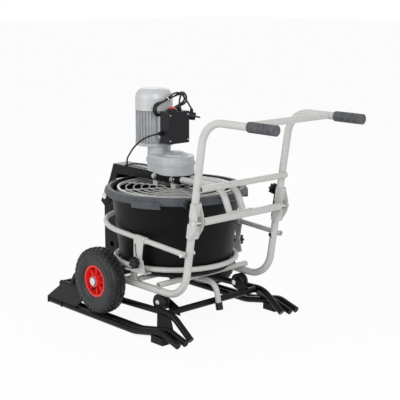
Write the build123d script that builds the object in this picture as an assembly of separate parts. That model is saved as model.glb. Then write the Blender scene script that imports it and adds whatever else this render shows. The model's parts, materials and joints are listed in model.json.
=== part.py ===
from build123d import *
import math
import os

os.makedirs("parts", exist_ok=True)

# Mixing station for mortar: a floor stand with a tilting mixing head, and a wheeled tub trolley.
# Working frame of the dimensions below, in millimetres: the tub's axis is X = 0, Y = 0, the
# floor is Z = 0, +X runs towards the push handles and +Z is up. Every piece is written with
# the origin moved to the bottom centre of the whole machine. Left is the -Y side.

# ---------------------------------------------------------------- driving dimensions
SIDES = (-1, 1)
SIDE_NAMES = {-1: "left", 1: "right"}
seat_gap = 0.3            # between curved faces that rest on each other
running = 0.05            # radial clearance of a shaft in its bore

# floor stand
runner_d = 25.0
runner_outer_y = 312.0
runner_middle_y = 276.0
runner_inner_y = 240.0
runner_rear_x = -425.0
runner_inner_rear_x = -445.0
runner_tip_x = 362.0
runner_crest_x = 272.0
runner_crest_z = 42.0
runner_inner_rear_z = 62.0
runner_inner_crest_x = 248.0
runner_inner_crest_z = 90.0
tray_front_x = -228.0
tray_thick = 3.0
foot_lift = 2.0            # the tray feet end just above the floor, round the runner tubes
stand_cross_x = 212.0
stand_cross_z = 84.0
rear_bow_z = 112.0
column_x = -370.0
column_depth = 84.0
column_width = 72.0
column_wall = 3.0
column_foot_z = 58.0
head_pivot_x = -395.0
head_pivot_z = 411.0
head_pivot_d = 16.0
arm_front_high = 31.0

# rollers under the trolley's side tubes
roller_d = 62.0
roller_width = 40.0
roller_x = 150.0
roller_y = 206.0
roller_bolt_d = 12.0
roller_cheek = 4.0

# wheels and axle
wheel_d = 260.0
tyre_width = 72.0
wheel_y = 294.0
wheel_x = -112.5
rim_d = 124.0
hub_boss_d = 46.0
bush_d = 38.0
axle_d = 20.0
hub_width = 62.0

# trolley frame
tube_d = 28.0
tube_wall = 2.0
side_y = 219.0
side_rear_x = -150.0
knee_x = 291.0
knee_radius = 110.0
lean = 9.1                 # degrees from upright of the handle tubes
hinge_height = 303.0       # along the leaning tube, from the knee's corner
hinge_offset = 27.4        # hinge pin ahead of the tube's axis
hinge_split = 0.6
handle_height = 667.0      # along the leaning tube, from the knee's corner
handle_radius = 100.0
mid_bar_height = 424.0
mid_bar_ahead = 18.0       # clears the hook as the head swings up
upper_bar_x = 578.5
grip_start_x = 612.0
grip_end_x = 732.0
grip_d = 37.0
bracket_plate = 3.0
hinge_pin_d = 10.0
cross_tube_d = 22.0
cross_tube_xs = (43.0, 159.5)
cross_tube_half = 231.0
ring_d = 20.0
ring_radius = 237.0
foot_bend_x = 226.0
foot_end_x = 249.0
foot_end_z = 58.0
foot_cap_d = 28.0

# height-adjustable guard hoop round the tub
hoop_d = 20.0
hoop_y = 247.0
hoop_pivot_height = 178.0  # along the leaning tube, from the knee's corner
hoop_slope = 3.4           # degrees, higher at the column
hoop_bend_x = -45.0
hoop_travel = 12.0         # degrees
clamp_x = 75.0
clamp_z = 257.0
clamp_stud_d = 8.0
slot_width = 9.6
slot_plate_thick = 4.0
knob_d = 46.0
knob_thick = 16.0

# tub
tub_bottom_r = 218.0
tub_top_r = 250.0
tub_rim_r = 277.0
tub_rim_z = 506.0
tub_wall = 4.0
lip_angles = (-65.7, 54.3, 174.3)

# mixing head
arm_top_z = 553.6
arm_half = 40.0
arm_plate = 3.0
arm_rear_x = -342.0
arm_front_x = 63.0
hook_d = 25.0
hook_y = 24.5
hook_spread = 34.0
hook_corner_x = 291.6
grill_r = 225.0
grill_rim_d = 9.0
grill_wire_d = 4.0
grill_z = 499.4
grill_rings = (45.0, 75.0, 105.0, 135.0, 165.0, 195.0)
grill_tab_wide = 26.0
motor_x = -129.0
second_shaft_x = -75.0
gear_case_r = 72.0
case_lobe_x = -99.0
case_lobe_r = 48.0
case_wall = 4.0
case_split_z = 596.0
case_top_z = 632.0
motor_foot_z = 653.0
motor_fin_r = 73.0
motor_body_r = 62.0
cowl_base_z = 792.0
cowl_top_z = 875.0
cowl_r = 74.0
shaft_d = 30.0
paddle_r = 150.0

# control box on the motor
box_back_x = -32.0
box_split_x = 8.0
box_front_x = 20.0
box_half_y = 52.0
box_low_z = 672.0
box_high_z = 795.0
box_wall = 3.0
button_x = -8.0
button_y = -12.0
button_d = 24.0
cable_d = 7.0

# ---------------------------------------------------------------- derived places
axle_z = runner_d + seat_gap + wheel_d / 2
side_z = axle_z
lean_rad = math.radians(lean)
machine_mid_x = (grip_end_x + runner_inner_rear_x) / 2
cross_tube_z = side_z + tube_d / 2 + cross_tube_d / 2
tub_floor_z = cross_tube_z + cross_tube_d / 2


def along_lean(height, ahead=0.0):
    """X and Z of a point on the leaning tubes, `height` up from the knee and `ahead` of the axis."""
    x = knee_x + height * math.sin(lean_rad) + ahead * math.cos(lean_rad)
    z = side_z + height * math.cos(lean_rad) - ahead * math.sin(lean_rad)
    return x, z


hinge_x, hinge_z = along_lean(hinge_height, hinge_offset)
hoop_pivot_x, hoop_pivot_z = along_lean(hoop_pivot_height)
handle_x, handle_z = along_lean(handle_height)
mid_bar_x, mid_bar_z = along_lean(mid_bar_height, mid_bar_ahead)
clamp_radius = math.hypot(hoop_pivot_x - clamp_x, hoop_pivot_z - clamp_z)
clamp_angle = math.degrees(math.atan2(hoop_pivot_z - clamp_z, hoop_pivot_x - clamp_x))

# ---------------------------------------------------------------- helpers


def put(name, *shapes):
    """Write one named piece, or a group of like pieces, to its own STEP file."""
    solids = [solid for shape in shapes for solid in shape.solids()]
    moved = [solid.moved(Location((-machine_mid_x, 0, 0))) for solid in solids]
    export_step(moved[0] if len(moved) == 1 else Compound(children=moved), f"parts/{name}.step")


def rod(start, end, diameter, bore=0.0):
    """Round bar between two points, or a straight tube when it has a bore."""
    start = Vector(*start)
    end = Vector(*end)
    plane = Plane(origin=start, z_dir=end - start)
    bar = Solid.make_cylinder(diameter / 2, (end - start).length, plane)
    if bore:
        bar = bar - Solid.make_cylinder(bore / 2, (end - start).length, plane)
    return bar


def bent_rod(points, radii, diameter, wall=0.0):
    """Bar or tube along straight runs joined by tangent arcs."""
    path = FilletPolyline(*points, radius=radii)
    section = Circle(diameter / 2)
    if wall:
        section -= Circle(diameter / 2 - wall)
    plane = Plane(origin=path @ 0, z_dir=path % 0)
    return sweep(plane * section, path=path)


def block(x0, x1, y0, y1, z0, z1):
    """Box between two corners."""
    size = (x1 - x0, y1 - y0, z1 - z0)
    return Pos((x0 + x1) / 2, (y0 + y1) / 2, (z0 + z1) / 2) * Box(*size)


def side_plate(outline, y0, y1):
    """Flat plate parallel to XZ, from its outline in X and Z, between two Y values."""
    plane = Plane(origin=(0, min(y0, y1), 0), x_dir=(1, 0, 0), z_dir=(0, -1, 0))
    face = plane * make_face(Polyline(*outline, close=True))
    return extrude(face, amount=-abs(y1 - y0))


def turned(profile, x=0.0, y=0.0):
    """Solid of revolution about a vertical axis, from an outline in radius and height."""
    face = Plane.XZ * make_face(Polyline(*profile, close=True))
    return Pos(x, y, 0) * revolve(face, axis=Axis.Z)


def star_head(diameter, thick, lobes=7):
    """Lobed grip of a hand knob, lying on XY with its base at Z = 0."""
    core = Cylinder(diameter * 0.36, thick, align=(Align.CENTER, Align.CENTER, Align.MIN))
    lobe = Cylinder(diameter * 0.12, thick, align=(Align.CENTER, Align.CENTER, Align.MIN))
    for index in range(lobes):
        core += Rot(0, 0, 360 * index / lobes) * Pos(diameter * 0.38, 0, 0) * lobe
    return core


def gear_blank(teeth, module, z0, z1, phase=0.0):
    """Spur gear with straight-sided teeth and generous backlash, axis at X = Y = 0."""
    pitch_r = teeth * module / 2
    tooth = 360 / teeth
    points = []
    for index in range(teeth):
        centre = phase + index * tooth
        for radius, share in (
            (pitch_r - 1.1 * module, -0.30),
            (pitch_r + 0.75 * module, -0.11),
            (pitch_r + 0.75 * module, 0.11),
            (pitch_r - 1.1 * module, 0.30),
        ):
            angle = math.radians(centre + share * tooth)
            points.append((radius * math.cos(angle), radius * math.sin(angle)))
    face = make_face(Polyline(*points, close=True))
    return Pos(0, 0, z0) * extrude(face, amount=z1 - z0)


# ---------------------------------------------------------------- floor stand


def runner_path(side, y, inner=False):
    if inner:
        return [
            (runner_inner_rear_x, side * y, runner_inner_rear_z),
            (runner_inner_crest_x, side * y, runner_inner_crest_z),
            (runner_tip_x - 12, side * y, runner_d / 2 + 4),
        ]
    return [
        (runner_rear_x, side * y, runner_d / 2),
        (120, side * y, runner_d / 2),
        (runner_crest_x, side * y, runner_crest_z),
        (runner_tip_x, side * y, runner_d / 2 + 3),
    ]


def runner_tubes(side):
    """Three parallel skid tubes of one side: two low ones under the wheel, one raised inside."""
    low = [bent_rod(runner_path(side, y), [200, 70], runner_d) for y in (runner_outer_y, runner_middle_y)]
    raised = bent_rod(runner_path(side, runner_inner_y, True), [110], runner_d)
    return low + [raised]


def wheel_tray(side, tubes, cross_tubes):
    """Folded sheet behind the wheel, from the low tubes up to the raised one, with two feet."""
    low_z = runner_d + 1.0
    high_z = runner_inner_rear_z + runner_d / 2 + 1.0
    outline = [
        (runner_outer_y + 14, low_z),
        (runner_inner_y + 4, high_z - 6),
        (runner_inner_y + 4, high_z - 6 + tray_thick),
        (runner_outer_y + 14, low_z + tray_thick),
    ]
    plane = Plane(origin=(runner_rear_x, 0, 0), x_dir=(0, 1, 0), z_dir=(1, 0, 0))
    face = plane * make_face(Polyline(*[(side * y, z) for y, z in outline], close=True))
    sheet = extrude(face, amount=tray_front_x - runner_rear_x)
    foot_outline = [
        (runner_outer_y + 14, foot_lift),
        (runner_outer_y + 14, low_z + 1),
        (runner_inner_y + 4, high_z - 6),
        (runner_inner_y + 4, high_z - 30),
        (runner_middle_y - 20, foot_lift),
    ]
    foot_face = plane * make_face(Polyline(*[(side * y, z) for y, z in foot_outline], close=True))
    foot = extrude(foot_face, amount=tray_thick)
    tray = sheet + foot + Pos(92, 0, 0) * foot
    for tube in tubes + cross_tubes:
        tray -= tube
    return tray


def roller_pedestal(side, tubes):
    """Sloping web between the raised and the middle skid tube, with the roller's inner cheek."""
    low = Vector(0, side * runner_middle_y, runner_crest_z - 6)
    high = Vector(0, side * runner_inner_y, runner_inner_crest_z - 3)
    slope = high - low
    plane = Plane(origin=low, x_dir=(1, 0, 0), z_dir=Vector(1, 0, 0).cross(slope))
    face = make_face(Polyline((205, 0), (300, 0), (236, slope.length), (165, slope.length), close=True))
    web = extrude(plane * face, amount=tray_thick / 2, both=True)
    for tube in tubes:
        web -= tube
    inner_y = roller_y - roller_width / 2 - 1
    cheek = side_plate(
        [
            (roller_x - 18, roller_z - 16),
            (roller_x - 18, roller_z + 12),
            (roller_x, roller_z + 20),
            (roller_x + 18, roller_z + 12),
            (stand_cross_x + 6, stand_cross_z + 18),
            (stand_cross_x + 16, stand_cross_z - 16),
            (stand_cross_x - 14, stand_cross_z - 16),
        ],
        side * (inner_y - roller_cheek),
        side * inner_y,
    )
    cheek -= rod((roller_x, side * 150, roller_z), (roller_x, side * 240, roller_z), roller_bolt_d)
    cheek -= rod((stand_cross_x, -230, stand_cross_z), (stand_cross_x, 230, stand_cross_z), runner_d)
    foot_z = runner_crest_z - 14
    foot = block(228, 292, min(side * 262, side * 326), max(side * 262, side * 326), 0, foot_z)
    hollow_y = (side * 262, side * 326)
    foot -= block(231, 289, min(hollow_y) + 3, max(hollow_y) - 3, -1, foot_z - 3)
    for tube in tubes:
        foot -= tube
    return [web, cheek, foot]


def stand_cross_tubes(tubes):
    """Front cross tube, rear bow and rear bar that tie the two runners and carry the column."""
    reach = runner_inner_y
    front = rod((stand_cross_x, -reach, stand_cross_z), (stand_cross_x, reach, stand_cross_z), runner_d)
    rear_z = runner_inner_rear_z + 3
    bow = bent_rod(
        [
            (column_x, -reach, rear_z),
            (column_x, -reach + 22, rear_bow_z),
            (column_x, reach - 22, rear_bow_z),
            (column_x, reach, rear_z),
        ],
        [26, 26],
        runner_d,
    )
    bar_x = column_x - column_depth / 2 - runner_d / 2
    bar = rod((bar_x, -reach, rear_z + 1), (bar_x, reach, rear_z + 1), runner_d)
    for tube in tubes:
        front -= tube
        bow -= tube
        bar -= tube
    return [front, bow, bar]


def column(cross_tubes):
    """Upright box section with its pivot bosses at the top and a cable hole near the foot."""
    half_x = column_depth / 2
    half_y = column_width / 2
    front_x = column_x + half_x
    rear_x = column_x - half_x
    top_z = head_pivot_z + 22
    outline = [
        (rear_x, column_foot_z),
        (rear_x, top_z),
        (head_pivot_x + 16, top_z),
        (front_x, top_z - 40),
        (front_x, column_foot_z),
    ]
    shell = side_plate(outline, -half_y, half_y)
    inner = [
        (rear_x + column_wall, column_foot_z - 1),
        (rear_x + column_wall, top_z + 1),
        (head_pivot_x + 14, top_z + 1),
        (front_x - column_wall, top_z - 42),
        (front_x - column_wall, column_foot_z - 1),
    ]
    shell -= side_plate(inner, -half_y + column_wall, half_y - column_wall)
    pivot = rod((head_pivot_x, -60, head_pivot_z), (head_pivot_x, 60, head_pivot_z), head_pivot_d + 2 * running)
    shell -= pivot
    shell -= rod((column_x + 4, -60, 208), (column_x + 4, 0, 208), 24)
    for tube in cross_tubes:
        shell -= tube
    return shell


# ---------------------------------------------------------------- rollers and wheels

roller_z = side_z - tube_d / 2 - seat_gap - roller_d / 2


def roller(side):
    """Twin-tread rubber roller on a plain bore."""
    half = roller_width / 2
    profile = [
        (roller_bolt_d / 2 + running, -half),
        (roller_d / 2 - 4, -half),
        (roller_d / 2, -half + 4),
        (roller_d / 2, -4),
        (roller_d / 2 - 6, -2),
        (roller_d / 2 - 6, 2),
        (roller_d / 2, 4),
        (roller_d / 2, half - 4),
        (roller_d / 2 - 4, half),
        (roller_bolt_d / 2 + running, half),
    ]
    return Pos(roller_x, side * roller_y, roller_z) * Rot(90, 0, 0) * turned(profile)


def roller_bolt(side):
    """Shouldered bolt that carries a roller, its head on the outer face."""
    inner = side * (roller_y - roller_width / 2 - 1 - roller_cheek)
    outer = side * (roller_y + roller_width / 2 + 0.5)
    shank = rod((roller_x, inner, roller_z), (roller_x, outer, roller_z), roller_bolt_d)
    head = rod((roller_x, outer, roller_z), (roller_x, outer + side * 0.8, roller_z), 20)
    nut = rod((roller_x, inner, roller_z), (roller_x, inner - side * 8, roller_z), 20)
    return shank + head + nut


def wheel_place(side):
    return Pos(wheel_x, side * wheel_y, axle_z) * Rot(90, 0, 0)


def tyre(side):
    """Pneumatic tyre with rounded shoulders, closed on the rim."""
    half = tyre_width / 2
    outer = wheel_d / 2
    inner = rim_d / 2
    profile = [
        (inner, -half * 0.72),
        (inner + 12, -half * 0.90),
        (outer - 42, -half),
        (outer - 18, -half * 0.92),
        (outer - 3, -half * 0.70),
        (outer, -half * 0.45),
        (outer, half * 0.45),
        (outer - 3, half * 0.70),
        (outer - 18, half * 0.92),
        (outer - 42, half),
        (inner + 12, half * 0.90),
        (inner, half * 0.72),
    ]
    return wheel_place(side) * turned(profile)


def wheel_hub(side):
    """Moulded rim with eight spokes round the bearing boss."""
    rim_half = tyre_width / 2 * 0.72
    rim = Cylinder(rim_d / 2, 2 * rim_half) - Cylinder(rim_d / 2 - 7, 2 * rim_half)
    boss = Cylinder(hub_boss_d / 2, hub_width) - Cylinder(bush_d / 2 + running, hub_width)
    web = Cylinder(rim_d / 2 - 6, 4) - Cylinder(hub_boss_d / 2 - 1, 4)
    hub = rim + boss + web
    spoke_length = rim_d / 2 - 6 - hub_boss_d / 2 + 2
    spoke = Pos(hub_boss_d / 2 - 1 + spoke_length / 2, 0, 0) * Box(spoke_length, 4.5, 36)
    for index in range(8):
        hub += Rot(0, 0, 45 * index) * spoke
    return wheel_place(side) * hub


def wheel_bush(side):
    """Steel bearing sleeve that the wheel turns on."""
    place = wheel_place(side)
    return place * (Cylinder(bush_d / 2, hub_width + 1) - Cylinder(axle_d / 2, hub_width + 1))


def axle_nut(side):
    """Flat cap nut at the axle's end."""
    y0 = side * (wheel_y + hub_width / 2 + 0.5)
    y1 = side * (wheel_y + hub_width / 2 + 5.5)
    return rod((wheel_x, y0, axle_z), (wheel_x, y1, axle_z), 30, axle_d)


def axle():
    reach = wheel_y + hub_width / 2 + 5.5
    return rod((wheel_x, -reach, axle_z), (wheel_x, reach, axle_z), axle_d)


# ---------------------------------------------------------------- trolley frame


def side_tube(side):
    """Lower side tube: level under the tub, then bent up to the hinge."""
    top_x, top_z = along_lean(hinge_height - hinge_split / 2)
    y = side * side_y
    bar = bent_rod(
        [(side_rear_x, y, side_z), (knee_x, y, side_z), (top_x, y, top_z)],
        [knee_radius],
        tube_d,
        tube_wall,
    )
    bar -= rod((wheel_x, y - 30, axle_z), (wheel_x, y + 30, axle_z), axle_d)
    bar -= rod((hoop_pivot_x, y - 30, hoop_pivot_z), (hoop_pivot_x, y + 30, hoop_pivot_z), 10)
    return bar - latch_peg(side)


def frame_cross_tubes():
    """Two open tubes across the side tubes, which the tub stands on."""
    reach = cross_tube_half
    return [
        rod((x, -reach, cross_tube_z), (x, reach, cross_tube_z), cross_tube_d, cross_tube_d - 2 * tube_wall)
        for x in cross_tube_xs
    ]


shelf_top_z = tub_floor_z + 27.0
shelf_thick = 4.0
ring_z = shelf_top_z + ring_d / 2


def tub_ring():
    """Level ring that centres the tub's foot."""
    return Pos(0, 0, ring_z) * Torus(ring_radius, ring_d / 2)


def clamp_bracket(side):
    """Bent plate on the side tube that carries the ring and the hoop's clamp knob."""
    foot_y = side_y + 4.0
    outer_y = hoop_y + hoop_d / 2 - 0.5
    plate = shelf_thick
    foot_top = side_z + tube_d / 2

    def span(y0, y1):
        return min(side * y0, side * y1), max(side * y0, side * y1)

    wall = block(-6, 30, *span(foot_y, foot_y + plate), foot_top, shelf_top_z)
    shelf = block(-6, 112, *span(foot_y, outer_y), shelf_top_z - plate, shelf_top_z)
    ear = side_plate(
        [
            (clamp_x - 42, shelf_top_z - plate),
            (clamp_x + 37, shelf_top_z - plate),
            (clamp_x + 26, clamp_z + 8),
            (clamp_x + 12, clamp_z + 20),
            (clamp_x - 12, clamp_z + 20),
            (clamp_x - 26, clamp_z + 8),
        ],
        side * (outer_y - plate),
        side * outer_y,
    )
    hole = rod(
        (clamp_x, side * (outer_y - 20), clamp_z), (clamp_x, side * (outer_y + 20), clamp_z),
        clamp_stud_d + 2 * running,
    )
    return wall + shelf + ear - hole


def foot_tube():
    """Parking foot: runs forward under the cross tubes and turns down to its cap."""
    z = cross_tube_z - cross_tube_d / 2 - cross_tube_d / 2
    return bent_rod(
        [(30, 0, z), (foot_bend_x, 0, z), (foot_end_x, 0, foot_end_z + 3)],
        [48],
        cross_tube_d,
        tube_wall,
    )


def foot_cap():
    """Rubber cap over the foot's end."""
    z = cross_tube_z - cross_tube_d
    bend = Vector(foot_bend_x, 0, z)
    end = Vector(foot_end_x, 0, foot_end_z + 3)
    down = (end - bend).normalized()
    start = end - down * 24
    tip = end + down * 4
    cap = rod(start, tip, foot_cap_d)
    return cap - rod(start - down, end, cross_tube_d)


def hinge_layer(side, y0, y1, outline):
    """Plate in the leaning tube's own axes: ahead of its axis, and up from the hinge plane."""
    points = [along_lean(hinge_height + up, ahead) for ahead, up in outline]
    return side_plate(points, side * y0, side * y1)


upper_cheek = tube_d / 2                      # half width between the upper bracket's cheeks
lower_cheek = tube_d / 2 + bracket_plate + seat_gap


def hinge_pin_hole(side, extra=0.0):
    y = side * side_y
    return rod((hinge_x, y - 40, hinge_z), (hinge_x, y + 40, hinge_z), hinge_pin_d + extra)


def lower_hinge_bracket(side):
    """Channel welded to the lower tube; its cheeks straddle the upper bracket."""
    cheek_outline = [(-6, -64), (12, -70), (34, -24), (38.4, 0), (34, 8), (27.4, 11), (18, 8), (-6, -14)]
    web_outline = [(14, -68), (17, -64), (17, -17), (14, -17)]
    inner = side_y - lower_cheek
    outer = side_y + lower_cheek
    shape = hinge_layer(side, inner - bracket_plate, inner, cheek_outline)
    shape += hinge_layer(side, outer, outer + bracket_plate, cheek_outline)
    shape += hinge_layer(side, inner - bracket_plate, outer + bracket_plate, web_outline)
    return shape - hinge_pin_hole(side)


def upper_hinge_bracket(side):
    """Channel welded to the handle tube; it turns on the hinge pin."""
    cheek_outline = [(-6, 64), (12, 68), (34, 24), (38.4, 0), (34, -8), (27.4, -11), (18, -8), (-6, 14)]
    web_outline = [(14, 66), (17, 62), (17, 17), (14, 17)]
    inner = side_y - upper_cheek
    outer = side_y + upper_cheek
    shape = hinge_layer(side, inner - bracket_plate, inner, cheek_outline)
    shape += hinge_layer(side, outer, outer + bracket_plate, cheek_outline)
    shape += hinge_layer(side, inner - bracket_plate, outer + bracket_plate, web_outline)
    return shape - hinge_pin_hole(side, 2 * running)


def hinge_crossbar():
    """Cross tube in line with the hinge pins, welded between the inner cheeks."""
    reach = side_y - lower_cheek - bracket_plate
    return rod((hinge_x, -reach, hinge_z), (hinge_x, reach, hinge_z), tube_d, tube_d - 2 * tube_wall)


def hinge_pin(side):
    """Headed pin through the four cheeks."""
    inner = side * (side_y - lower_cheek - bracket_plate)
    outer = side * (side_y + lower_cheek + bracket_plate)
    pin = rod((hinge_x, inner, hinge_z), (hinge_x, outer, hinge_z), hinge_pin_d)
    return pin + rod((hinge_x, outer, hinge_z), (hinge_x, outer + side * 5, hinge_z), 17)


def latch_peg(side):
    """Locating peg on the back of the lower tube for the latch bar's fork."""
    y = side * side_y
    start = along_lean(hinge_height - 50, -tube_d / 2 + tube_wall / 2)
    end = along_lean(hinge_height - 50, -tube_d / 2 - 9)
    return rod((start[0], y, start[1]), (end[0], y, end[1]), 6)


def hoop_bolt(side):
    """Pivot bolt through the side tube and the hoop's end."""
    inner = side * (side_y - tube_d / 2 - 6)
    outer = side * (hoop_y + hoop_d / 2 + 1)
    bolt = rod((hoop_pivot_x, inner, hoop_pivot_z), (hoop_pivot_x, outer, hoop_pivot_z), 10)
    head = rod((hoop_pivot_x, outer, hoop_pivot_z), (hoop_pivot_x, outer + side * 5, hoop_pivot_z), 17)
    nut = rod((hoop_pivot_x, inner, hoop_pivot_z), (hoop_pivot_x, inner + side * 6, hoop_pivot_z), 17)
    washer_y = side * (side_y + tube_d / 2)
    spacer_y = side * (hoop_y - hoop_d / 2 - seat_gap)
    washer = rod((hoop_pivot_x, washer_y, hoop_pivot_z), (hoop_pivot_x, spacer_y, hoop_pivot_z), 20)
    return bolt + head + nut + washer


# ---------------------------------------------------------------- guard hoop


def hoop_line_z(x):
    """Height of the hoop's axis over a place along X."""
    return hoop_pivot_z + (hoop_pivot_x - x) * math.tan(math.radians(hoop_slope))


def hoop():
    """U-shaped tube round the tub's back, with a slotted clamp plate on each leg."""
    slope = math.radians(hoop_slope)
    plane = Plane(
        origin=(hoop_pivot_x, 0, hoop_pivot_z),
        x_dir=(-math.cos(slope), 0, math.sin(slope)),
        z_dir=(math.sin(slope), 0, math.cos(slope)),
    )
    leg = (hoop_pivot_x - hoop_bend_x) / math.cos(slope)
    start_leg = -12.0
    line_a = Line((start_leg, -hoop_y), (leg, -hoop_y))
    arc = RadiusArc((leg, -hoop_y), (leg, hoop_y), -hoop_y)
    if arc.position_at(0.5).X < leg:
        arc = RadiusArc((leg, -hoop_y), (leg, hoop_y), hoop_y)
    line_b = Line((leg, hoop_y), (start_leg, hoop_y))
    path = plane * Wire([line_a.edge(), arc.edge(), line_b.edge()])
    section = Plane(origin=path @ 0, z_dir=path % 0) * (Circle(hoop_d / 2) - Circle(hoop_d / 2 - tube_wall))
    bar = sweep(section, path=path)
    pieces = [bar]
    for side in SIDES:
        pieces[0] -= rod(
            (hoop_pivot_x, side * (hoop_y - 20), hoop_pivot_z),
            (hoop_pivot_x, side * (hoop_y + 20), hoop_pivot_z),
            10 + 2 * running,
        )
        pieces.append(slot_plate(side) - bar_envelope(side))
    return pieces


def bar_envelope(side):
    """Solid cylinder where a leg of the hoop runs, to cut its bore."""
    x0 = clamp_x + 70
    x1 = clamp_x - 70
    return rod((x0, side * hoop_y, hoop_line_z(x0)), (x1, side * hoop_y, hoop_line_z(x1)), hoop_d)


def slot_plate(side):
    """Sleeve on the hoop's leg with a hanging plate, slotted on an arc about the hoop's pivot."""
    x0 = clamp_x + 37
    x1 = clamp_x - 19
    sleeve = rod((x0, side * hoop_y, hoop_line_z(x0)), (x1, side * hoop_y, hoop_line_z(x1)), hoop_d + 6)
    inner = hoop_y + hoop_d / 2
    outer = inner + slot_plate_thick
    outline = [
        (x1, hoop_line_z(x1) + 4),
        (x0, hoop_line_z(x0) + 4),
        (x0 - 6, hoop_line_z(x0) - 22),
        (clamp_x + 20, clamp_z - 4),
        (clamp_x + 14, clamp_z - 20),
        (clamp_x - 12, clamp_z - 20),
        (x1 - 1, clamp_z - 4),
    ]
    plate = side_plate(outline, side * inner, side * outer)
    steps = 24
    for index in range(steps + 1):
        angle = math.radians(clamp_angle - (hoop_travel + 3) * index / steps)
        x = hoop_pivot_x - clamp_radius * math.cos(angle)
        z = hoop_pivot_z - clamp_radius * math.sin(angle)
        plate -= rod((x, side * (inner - 5), z), (x, side * (outer + 5), z), slot_width)
    return sleeve + plate


def clamp_knob(side):
    """Star knob whose stud passes the slot into the clamp bracket."""
    head_y = hoop_y + hoop_d / 2 + slot_plate_thick + seat_gap
    stud_end = hoop_y + hoop_d / 2 - 0.5 - shelf_thick - 3
    turn = Rot(90, 0, 0) if side < 0 else Rot(-90, 0, 0)
    collar = turn * Cylinder(11, 6, align=(Align.CENTER, Align.CENTER, Align.MIN))
    grip = turn * (Pos(0, 0, 6) * star_head(knob_d, knob_thick))
    head = Pos(clamp_x, side * head_y, clamp_z) * (collar + grip)
    stud = rod((clamp_x, side * stud_end, clamp_z), (clamp_x, side * (head_y + 4), clamp_z), clamp_stud_d)
    return head + stud


# ---------------------------------------------------------------- folding handle


def handle_tube(side):
    """Upper side tube, bent forward to the grip."""
    foot_x, foot_z = along_lean(hinge_height + hinge_split / 2)
    y = side * side_y
    bar = bent_rod(
        [(foot_x, y, foot_z), (handle_x, y, handle_z), (grip_end_x - 4, y, handle_z)],
        [handle_radius],
        tube_d,
        tube_wall,
    )
    start = along_lean(hinge_height + 50, -30)
    end = along_lean(hinge_height + 50, 30)
    return bar - rod((start[0], y, start[1]), (end[0], y, end[1]), clamp_stud_d + 2 * running)


def handle_crossbars():
    """Two cross tubes of the handle frame, coped onto its side tubes."""
    bars = []
    for x, z in ((mid_bar_x, mid_bar_z), (upper_bar_x, handle_z)):
        bars.append(rod((x, -side_y, z), (x, side_y, z), tube_d - 4, tube_d - 4 - 2 * tube_wall))
    for side in SIDES:
        y = side * side_y
        low = along_lean(hinge_height)
        upright = rod((low[0], y, low[1]), (handle_x, y, handle_z), tube_d)
        level = rod((handle_x, y, handle_z), (grip_end_x, y, handle_z), tube_d)
        bars[0] -= upright
        bars[1] -= level
    return bars


def grip(side):
    """Ribbed rubber sleeve with a closed end."""
    y = side * side_y
    sleeve = rod((grip_start_x, y, handle_z), (grip_end_x, y, handle_z), grip_d - 3)
    ribs = 9
    pitch = (grip_end_x - grip_start_x) / ribs
    for index in range(ribs):
        x = grip_start_x + pitch * index
        sleeve += rod((x, y, handle_z), (x + pitch * 0.6, y, handle_z), grip_d)
    sleeve += rod((grip_end_x - 6, y, handle_z), (grip_end_x, y, handle_z), grip_d)
    return sleeve - rod((grip_start_x - 1, y, handle_z), (grip_end_x - 4, y, handle_z), tube_d)


def latch_bar(side):
    """Flat bar behind the joint, clamped above and forked over the peg below."""
    y = side * side_y
    low = along_lean(hinge_height - 62, -tube_d / 2 - seat_gap)
    axis = Vector(math.sin(lean_rad), 0, math.cos(lean_rad))
    plane = Plane(origin=(low[0], y, low[1]), x_dir=(0, 1, 0), z_dir=Vector(0, 1, 0).cross(axis))
    outline = Pos(0, 64) * RectangleRounded(18, 128, 8)
    outline -= Pos(0, 112) * Circle(clamp_stud_d / 2 + running)
    outline -= Pos(0, 5) * Rectangle(7, 16)
    outline -= Pos(0, 13) * Circle(3.5)
    bar = extrude(plane * outline, amount=4)
    if bar.center().X > along_lean(hinge_height, -tube_d / 2 - seat_gap)[0]:
        bar = extrude(plane * outline, amount=-4)
    return bar


def latch_knob(side):
    """Star knob that clamps the latch bar, its stud through the handle tube."""
    y = side * side_y
    face = along_lean(hinge_height + 50, -tube_d / 2 - seat_gap - 4 - seat_gap)
    far = along_lean(hinge_height + 50, tube_d / 2 - 3)
    outward = Vector(face[0] - far[0], 0, face[1] - far[1]).normalized()
    start = Vector(face[0], y, face[1])
    plane = Plane(origin=start, z_dir=outward)
    collar = plane * Cylinder(10, 5, align=(Align.CENTER, Align.CENTER, Align.MIN))
    grip_shape = plane * (Pos(0, 0, 5) * star_head(knob_d - 4, knob_thick))
    stud = rod(Vector(far[0], y, far[1]), start + outward * 4, clamp_stud_d)
    return collar + grip_shape + stud


# ---------------------------------------------------------------- tub


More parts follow.
